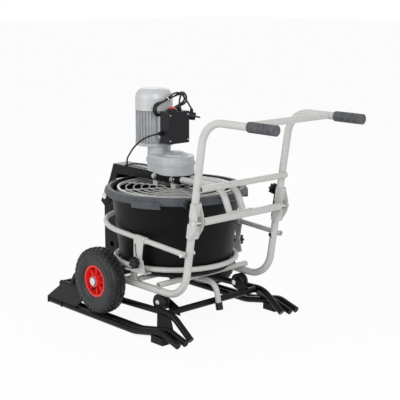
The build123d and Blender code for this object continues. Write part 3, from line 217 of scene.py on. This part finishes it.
MATERIALS = {
    "black_paint": finish_material(
        "black_paint", (0.004, 0.004, 0.0045), 0.3, grain=500, grain_depth=0.05, specular=0.16
    ),
    "grey_paint": finish_material(
        "grey_paint", (0.56, 0.55, 0.525), 0.3, vary=0.03, grain=350, grain_depth=0.03, specular=0.45
    ),
    "zinc": finish_material(
        "zinc", (0.7, 0.71, 0.72), 0.26, metal=1.0, vary=0.1, grain=900, grain_depth=0.05, patch=40
    ),
    "bearing_steel": finish_material(
        "bearing_steel", (0.5, 0.5, 0.5), 0.32, metal=1.0, grain=900, patch=30, stretch=(1, 1, 12)
    ),
    "stator_iron": finish_material("stator_iron", (0.2, 0.13, 0.09), 0.5, metal=0.6),
    "cast_aluminium": finish_material(
        "cast_aluminium",
        (0.50, 0.515, 0.525),
        0.5,
        metal=0.25,
        vary=0.06,
        grain=260,
        grain_depth=0.2,
        patch=22,
        edge=0.0012,
        specular=0.4,
    ),
    "cowl_paint": finish_material(
        "cowl_paint",
        (0.55, 0.56, 0.565),
        0.4,
        metal=0.1,
        vary=0.03,
        grain=420,
        grain_depth=0.06,
        edge=0.001,
        specular=0.4,
    ),
    "tub_plastic": tub_material(),
    "black_plastic": finish_material(
        "black_plastic", (0.008, 0.009, 0.011), 0.36, grain=700, grain_depth=0.1, specular=0.22
    ),
    "red_plastic": finish_material(
        "red_plastic", (0.82, 0.028, 0.022), 0.26, vary=0.08, grain=300, grain_depth=0.03, edge=0.001
    ),
    "button_red": finish_material("button_red", (0.66, 0.03, 0.03), 0.3, vary=0.05, edge=0.001),
    "tyre_rubber": finish_material(
        "tyre_rubber",
        (0.014, 0.015, 0.016),
        0.42,
        vary=0.35,
        grain=500,
        grain_depth=0.2,
        patch=28,
        edge=0.0008,
        specular=0.4,
    ),
    "black_rubber": finish_material(
        "black_rubber", (0.009, 0.009, 0.009), 0.55, vary=0.2, grain=600, grain_depth=0.2, specular=0.3
    ),
    "cable_sheath": finish_material(
        "cable_sheath", (0.008, 0.008, 0.0085), 0.4, grain=700, grain_depth=0.08, edge=0, specular=0.35
    ),
}

record = frame["record"]
slot_of = {part["node"]: part["material_slot"] for part in record["subparts"]}


def dress(piece, slot):
    piece.data.materials.clear()
    piece.data.materials.append(MATERIALS[slot])


# the grips' rubber has a grey, rubbed face
GRIP_RUBBER = finish_material(
    "grip_rubber", (0.085, 0.088, 0.093), 0.5, vary=0.25, grain=420, grain_depth=0.25, patch=60, specular=0.4
)

for node_name, node in nodes.items():
    dress(node, slot_of[node_name])
nodes["grips"].data.materials.clear()
nodes["grips"].data.materials.append(GRIP_RUBBER)
# sintered bearing sleeves, duller than the plated bolts
BUSH_METAL = finish_material("bush_metal", (0.2, 0.2, 0.205), 0.42, metal=0.7, grain=900, patch=30)
nodes["wheel_bushes"].data.materials.clear()
nodes["wheel_bushes"].data.materials.append(BUSH_METAL)


# ---------------------------------------------------------------- mesh helpers
def new_piece(name, mesh, body, slot, smooth=True):
    piece = bpy.data.objects.new(name, mesh)
    bpy.context.scene.collection.objects.link(piece)
    dress(piece, slot)
    if smooth and mesh.polygons:
        mesh.shade_smooth()
    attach(piece, body)
    return piece


def cable(name, points, diameter, body, slot="cable_sheath"):
    """A smooth cord on the control points of its route, given in millimetres from the tub's axis."""
    curve = bpy.data.curves.new(name, "CURVE")
    curve.dimensions = "3D"
    curve.resolution_u = 8
    curve.bevel_depth = diameter * MM / 2
    curve.bevel_resolution = 4
    spline = curve.splines.new("NURBS")
    spline.points.add(len(points) - 1)
    for target, point in zip(spline.points, points):
        target.co = (*at(*point), 1.0)
    spline.order_u = 3
    spline.use_endpoint_u = True
    piece = bpy.data.objects.new(name, curve)
    bpy.context.scene.collection.objects.link(piece)
    dress(piece, slot)
    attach(piece, body)
    return piece


# ---------------------------------------------------------------- cords
CABLE_D = 7.0
LEAD_START = [(-18, 34, 811), (-18, 34, 829), (-22, 44, 848), (-34, 58, 860)]
LEAD_TAIL = [
    (-42, -14, 833),
    (-41, 6, 848),
    (-39.5, 22, 858),
    (-37, 39, 862),
    (-33, 54, 858),
    (-27.5, 66, 846),
    (-18, 74, 828),
    (3, 79, 799),
]
MOTOR_ROUTE = [(-266, -14, 557.4), (-246, -6, 560), (-208, 2, 563), (-175, 0, 563), (-148, -4, 561)]
CONTROL_ROUTE = [
    (-20, -68, 712),
    (-23, -92, 710),
    (-44, -114, 700),
    (-90, -116, 674),
    (-140, -102, 643),
    (-190, -78, 613),
    (-234, -52, 592),
    (-263, -32, 577),
    (-272, -24, 557.6),
]
COIL_LEFT = Vector((-44.0, -46.0, 802.0))
COIL_RIGHT = Vector((-40.5, 66.0, 836.0))
COIL_RADIUS = 22.0
COIL_TURNS = 3
# per turn: sideways place in the bundle, then how much wider the right and left ends are
TURN_SHAPE = [(4.4, 0.5, -2.0), (-3.6, -3.5, 5.0), (0.6, 4.5, 1.0)]


def hank_points():
    """The control points of the hank's turns, from its right end round and round to its left end's top."""
    along = (COIL_RIGHT - COIL_LEFT).normalized()
    side = along.cross(Vector((0, 0, 1))).normalized()
    up = side.cross(along)
    points = []
    for turn in range(COIL_TURNS):
        shift, wider_right, wider_left = TURN_SHAPE[turn]
        radius = COIL_RADIUS + wider_right
        for degrees in (70, 35, 0, -40, -75) if turn == 0 else (85, 45, 0, -40, -75):
            a = math.radians(degrees)
            points.append(
                COIL_RIGHT + (along * math.cos(a) + up * math.sin(a)) * radius + side * shift
            )
        for share in (0.75, 0.5, 0.25):
            low = COIL_LEFT.lerp(COIL_RIGHT, share) - up * (COIL_RADIUS + 0.5 * shift)
            points.append(low + side * shift)
        radius = COIL_RADIUS + wider_left
        for degrees in (265, 225, 180, 140, 100):
            a = math.radians(degrees)
            points.append(
                COIL_LEFT + (along * math.cos(a) + up * math.sin(a)) * radius + side * shift
            )
        if turn < COIL_TURNS - 1:
            after = TURN_SHAPE[turn + 1][0]
            for share in (0.25, 0.5, 0.75):
                mixed = shift + (after - shift) * share
                high = COIL_LEFT.lerp(COIL_RIGHT, share) + up * (COIL_RADIUS + 0.5 * mixed)
                points.append(high + side * mixed)
    return [tuple(p) for p in points]


lead_route = LEAD_START + hank_points() + LEAD_TAIL
lead = cable("mains_lead_cord", lead_route, CABLE_D, "head")
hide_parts("mains_lead", "mains_coil")
control = cable("control_cable_cord", CONTROL_ROUTE, CABLE_D, "head")
motor_link = cable("motor_cable_cord", MOTOR_ROUTE, CABLE_D, "head")
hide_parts("control_cable")
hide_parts("control_cable")

# ---------------------------------------------------------------- tyres
TYRE_PROFILE = [
    (24, 60),
    (29, 66),
    (32.2, 74),
    (33.4, 76),
    (33.0, 78),
    (34.6, 88),
    (35.4, 90),
    (34.8, 92),
    (34.9, 104),
    (33.0, 112),
    (28.5, 119),
    (22.0, 123),
    (12.0, 124.8),
    (0, 125.4),
]
# tread rows: distance from the middle, radius, lean of the block, half width, half length, height
TREAD_ROWS = [
    (8.4, 124.0, 6, 6.4, 7.6, 5.2),
    (22.6, 120.4, 36, 6.0, 7.2, 5.2),
    (32.2, 111.5, 68, 5.6, 6.4, 3.0),
]
TREAD_COUNT = 34
WHEEL_SEGMENTS = 96


def wheel_point(centre, side, across, radius, angle):
    """A point of a wheel: `across` is from its middle plane towards the outside."""
    return (
        centre.x + radius * MM * math.cos(angle),
        centre.y + side * across * MM,
        centre.z + radius * MM * math.sin(angle),
    )


def add_tread_block(bm, centre, side, row, angle):
    across, radius, lean, half_wide, half_long, height = row
    lean = math.radians(lean)
    corners = []
    for lift, share in ((-2.0, 1.0), (height, 0.86)):
        for along, wide in ((-1, -1), (1, -1), (1, 1), (-1, 1)):
            w = wide * half_wide * share
            y = across + w * math.cos(lean) + lift * math.sin(lean)
            r = radius - w * math.sin(lean) + lift * math.cos(lean)
            turn = angle + along * half_long * share / radius
            corners.append(bm.verts.new(wheel_point(centre, side, y, r, turn)))
    low, high = corners[:4], corners[4:]
    bm.faces.new(high)
    bm.faces.new(low[::-1])
    for i in range(4):
        j = (i + 1) % 4
        bm.faces.new((low[i], low[j], high[j], high[i]))


def make_tyre(name, side):
    """Pneumatic tyre with staggered tread blocks."""
    low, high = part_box(f"tyre_{name}")
    centre = (low + high) / 2
    profile = TYRE_PROFILE + [(-y, r) for y, r in TYRE_PROFILE[-2::-1]]
    bm = bmesh.new()
    rings = []
    for step in range(WHEEL_SEGMENTS):
        angle = 2 * math.pi * step / WHEEL_SEGMENTS
        rings.append([bm.verts.new(wheel_point(centre, side, y, r, angle)) for y, r in profile])
    for step, ring in enumerate(rings):
        after = rings[(step + 1) % WHEEL_SEGMENTS]
        for i in range(len(ring)):
            j = (i + 1) % len(ring)
            bm.faces.new((ring[i], ring[j], after[j], after[i]))
    blocks = bmesh.new()
    for index in range(TREAD_COUNT):
        for number, row in enumerate(TREAD_ROWS):
            for half in (-1, 1):
                shift = 0.5 * ((number + (half > 0)) % 2)
                angle = 2 * math.pi * (index + shift) / TREAD_COUNT
                mirrored = (half * row[0], row[1], half * row[2], *row[3:])
                add_tread_block(blocks, centre, side, mirrored, angle)
    bmesh.ops.recalc_face_normals(blocks, faces=blocks.faces)
    bmesh.ops.bevel(
        blocks, geom=blocks.edges[:], offset=0.0006, segments=1, affect="EDGES", profile=0.5
    )
    bmesh.ops.recalc_face_normals(bm, faces=bm.faces)
    carcass = bpy.data.meshes.new(f"tyre_carcass_{name}")
    bm.to_mesh(carcass)
    tread = bpy.data.meshes.new(f"tyre_tread_{name}")
    blocks.to_mesh(tread)
    body = f"wheel_{name}"
    piece = new_piece(f"tyre_carcass_{name}", carcass, body, "tyre_rubber")
    new_piece(f"tyre_tread_{name}", tread, body, "tyre_rubber", smooth=False)
    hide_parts(f"tyre_{name}")
    return centre


# ---------------------------------------------------------------- small hardware
def recess_radius(kind, size, angle):
    """Outline of a screw's drive: a hexagon socket or a cross."""
    if kind == "hex":
        inside = (angle + math.pi / 6) % (math.pi / 3) - math.pi / 6
        return size * 0.87 / math.cos(inside)
    inside = abs((angle + math.pi / 4) % (math.pi / 2) - math.pi / 4)
    wide = 0.28
    if math.tan(inside) * 1.0 < wide:
        return size / math.cos(inside)
    return size * wide / math.sin(inside)


def turned_piece(bm, place, axis, rings, segments=24):
    """Adds a closed turned shape. Each ring is (height along the axis, radius or (kind, size)), in mm."""
    axis = Vector(axis).normalized()
    across = axis.orthogonal().normalized()
    other = axis.cross(across)
    loops = []
    for height, radius in rings:
        loop = []
        for step in range(segments):
            angle = 2 * math.pi * step / segments
            r = recess_radius(*radius, angle) if isinstance(radius, tuple) else radius
            offset = across * math.cos(angle) + other * math.sin(angle)
            loop.append(bm.verts.new(place + (axis * height + offset * r) * MM))
        loops.append(loop)
    for low, high in zip(loops, loops[1:]):
        for i in range(segments):
            j = (i + 1) % segments
            bm.faces.new((low[i], low[j], high[j], high[i]))
    bm.faces.new(loops[0][::-1])
    bm.faces.new(loops[-1])


def pan_screw(bm, place, axis, radius, kind="cross"):
    """Rounded screw head with its drive recess, standing on a surface."""
    r = radius
    rings = [(-0.6, r), (0.25 * r, r), (0.5 * r, 0.86 * r), (0.64 * r, 0.62 * r)]
    rings += [(0.64 * r, (kind, 0.55 * r)), (0.28 * r, (kind, 0.42 * r))]
    turned_piece(bm, place, axis, rings)


def hex_screw(bm, place, axis, flats, height, washer=0.0):
    """Hexagon head with a chamfered crown, on a washer when one is given."""
    base = 0.0
    if washer:
        turned_piece(bm, place, axis, [(-0.4, washer), (1.2, washer), (1.5, washer - 0.4)], 32)
        base = 1.4
    r = flats / 2
    rings = [(base, ("hex", r / 0.87)), (base + height * 0.85, ("hex", r / 0.87))]
    rings += [(base + height, r * 0.86)]
    turned_piece(bm, place, axis, rings, 36)


def hardware(name, body, slot, fill):
    """One piece of small hardware, filled in by the function given."""
    bm = bmesh.new()
    fill(bm)
    bmesh.ops.recalc_face_normals(bm, faces=bm.faces)
    mesh = bpy.data.meshes.new(name)
    bm.to_mesh(mesh)
    piece = new_piece(name, mesh, body, slot)
    mesh.set_sharp_from_angle(angle=math.radians(32))
    return piece


def box_screws(bm):
    for z in (684, 783):
        for y in (-45, 45):
            pan_screw(bm, at(20, y, z), (1, 0, 0), 3.4)


def gearbox_screws(bm):
    """Vertical cap screws round the parting flange."""
    for degrees in (-100, -55, -10, 35, 80, 125):
        a = math.radians(degrees)
        place = at(73.5 * math.cos(a), 73.5 * math.sin(a), 604)
        turned_piece(bm, place, (0, 0, 1), [(-1, 3.2), (2.6, 3.2), (3.0, 2.8)], 20)


def arm_foot_bolts(bm):
    for x in (-118, -56, 30):
        for y in (-36.5, 36.5):
            hex_screw(bm, at(x, y, 553.6), (0, 0, 1), 7, 4, 5.0)


def cowl_screws(bm):
    for degrees in (-110, -50, 10, 70, 130, 190):
        a = math.radians(degrees)
        out = Vector((math.cos(a), math.sin(a), 0))
        pan_screw(bm, at(-129 + 73.8 * out.x, 73.8 * out.y, 800), out, 2.6)


def make_wheel_details(name, side, centre):
    def valve(bm):
        a = math.radians(-105)
        place = centre + Vector((31 * math.cos(a), side * 14, 31 * math.sin(a))) * MM
        rings = [(-6, 4.6), (4, 4.4), (6, 3.2), (15, 3.0), (15.5, 3.6), (20, 3.6), (21, 3.0)]
        turned_piece(bm, place, (0, side, 0), rings, 20)

    hardware(f"valve_{name}", f"wheel_{name}", "black_rubber", valve)


def hank_tie(bm):
    """Twisted wire tie round the hank."""
    middle = COIL_LEFT.lerp(COIL_RIGHT, 0.42)
    along = (COIL_RIGHT - COIL_LEFT).normalized()
    side = along.cross(Vector((0, 0, 1))).normalized()
    up = side.cross(along)
    centre = middle + up * COIL_RADIUS
    ring = []
    steps, tube = 28, 8
    for step in range(steps):
        a = 2 * math.pi * step / steps
        out = side * math.cos(a) + up * math.sin(a)
        loop = []
        for k in range(tube):
            b = 2 * math.pi * k / tube
            p = centre + out * (9.0 + 0.9 * math.cos(b)) + along * (1.6 * math.sin(b))
            loop.append(bm.verts.new(at(*p)))
        ring.append(loop)
    for step in range(steps):
        a, b = ring[step], ring[(step + 1) % steps]
        for k in range(tube):
            m = (k + 1) % tube
            bm.faces.new((a[k], a[m], b[m], b[k]))


for wheel_name, wheel_side in (("left", -1), ("right", 1)):
    wheel_centre = make_tyre(wheel_name, wheel_side)
    make_wheel_details(wheel_name, wheel_side, wheel_centre)
hardware("box_screws", "head", "zinc", box_screws)
hardware("gearbox_screws", "head", "zinc", gearbox_screws)
hardware("arm_foot_bolts", "head", "zinc", arm_foot_bolts)
hardware("cowl_screws", "head", "zinc", cowl_screws)
hardware("hank_tie", "head", "zinc", hank_tie)

# ---------------------------------------------------------------- stage and lights
def make_stage():
    mesh = bpy.data.meshes.new("floor")
    s = 30.0
    mesh.from_pydata([(-s, -s, 0), (s, -s, 0), (s, s, 0), (-s, s, 0)], [], [(0, 1, 2, 3)])
    floor = bpy.data.objects.new("floor", mesh)
    bpy.context.scene.collection.objects.link(floor)
    material = bpy.data.materials.new("floor")
    material.use_nodes = True
    tree = material.node_tree
    tree.nodes.clear()
    out = tree.nodes.new("ShaderNodeOutputMaterial")
    diffuse = tree.nodes.new("ShaderNodeBsdfDiffuse")
    diffuse.inputs["Color"].default_value = (0.86, 0.86, 0.86, 1)
    white = tree.nodes.new("ShaderNodeEmission")
    white.inputs["Color"].default_value = (1, 1, 1, 1)
    mix = tree.nodes.new("ShaderNodeMixShader")
    path = tree.nodes.new("ShaderNodeLightPath")
    share = tree.nodes.new("ShaderNodeMath")
    share.operation = "MULTIPLY"
    share.inputs[1].default_value = 0.93
    either = tree.nodes.new("ShaderNodeMath")
    either.operation = "MAXIMUM"
    tree.links.new(path.outputs["Is Camera Ray"], either.inputs[0])
    tree.links.new(path.outputs["Is Glossy Ray"], either.inputs[1])
    tree.links.new(either.outputs[0], share.inputs[0])
    tree.links.new(share.outputs[0], mix.inputs["Fac"])
    tree.links.new(diffuse.outputs[0], mix.inputs[1])
    tree.links.new(white.outputs[0], mix.inputs[2])
    tree.links.new(mix.outputs[0], out.inputs["Surface"])
    mesh.materials.append(material)


def make_world():
    world = bpy.data.worlds.new("studio")
    bpy.context.scene.world = world
    world.use_nodes = True
    tree = world.node_tree
    tree.nodes.clear()
    out = tree.nodes.new("ShaderNodeOutputWorld")
    soft = tree.nodes.new("ShaderNodeBackground")
    soft.inputs["Color"].default_value = (0.95, 0.97, 1.0, 1)
    soft.inputs["Strength"].default_value = 0.62
    white = tree.nodes.new("ShaderNodeBackground")
    white.inputs["Color"].default_value = (1, 1, 1, 1)
    white.inputs["Strength"].default_value = 1.0
    mix = tree.nodes.new("ShaderNodeMixShader")
    path = tree.nodes.new("ShaderNodeLightPath")
    either = tree.nodes.new("ShaderNodeMath")
    either.operation = "MAXIMUM"
    tree.links.new(path.outputs["Is Camera Ray"], either.inputs[0])
    tree.links.new(path.outputs["Is Glossy Ray"], either.inputs[1])
    tree.links.new(either.outputs[0], mix.inputs["Fac"])
    tree.links.new(soft.outputs[0], mix.inputs[1])
    tree.links.new(white.outputs[0], mix.inputs[2])
    tree.links.new(mix.outputs[0], out.inputs["Surface"])


def area_light(name, place, target, size, power):
    data = bpy.data.lights.new(name, "AREA")
    data.shape = "RECTANGLE"
    data.size, data.size_y = size
    data.energy = power
    light = bpy.data.objects.new(name, data)
    bpy.context.scene.collection.objects.link(light)
    light.location = place
    light.rotation_euler = (Vector(target) - Vector(place)).to_track_quat("-Z", "Y").to_euler()


make_stage()
make_world()
CENTRE = (0.0, 0.0, 0.45)
area_light("key", (3.0, -1.6, 2.2), CENTRE, (1.6, 1.6), 50)
area_light("fill", (-0.8, -3.4, 1.5), CENTRE, (2.0, 2.0), 34)
area_light("back", (-2.6, 2.4, 2.0), CENTRE, (1.8, 1.8), 16)

bpy.context.scene.view_settings.view_transform = "Standard"
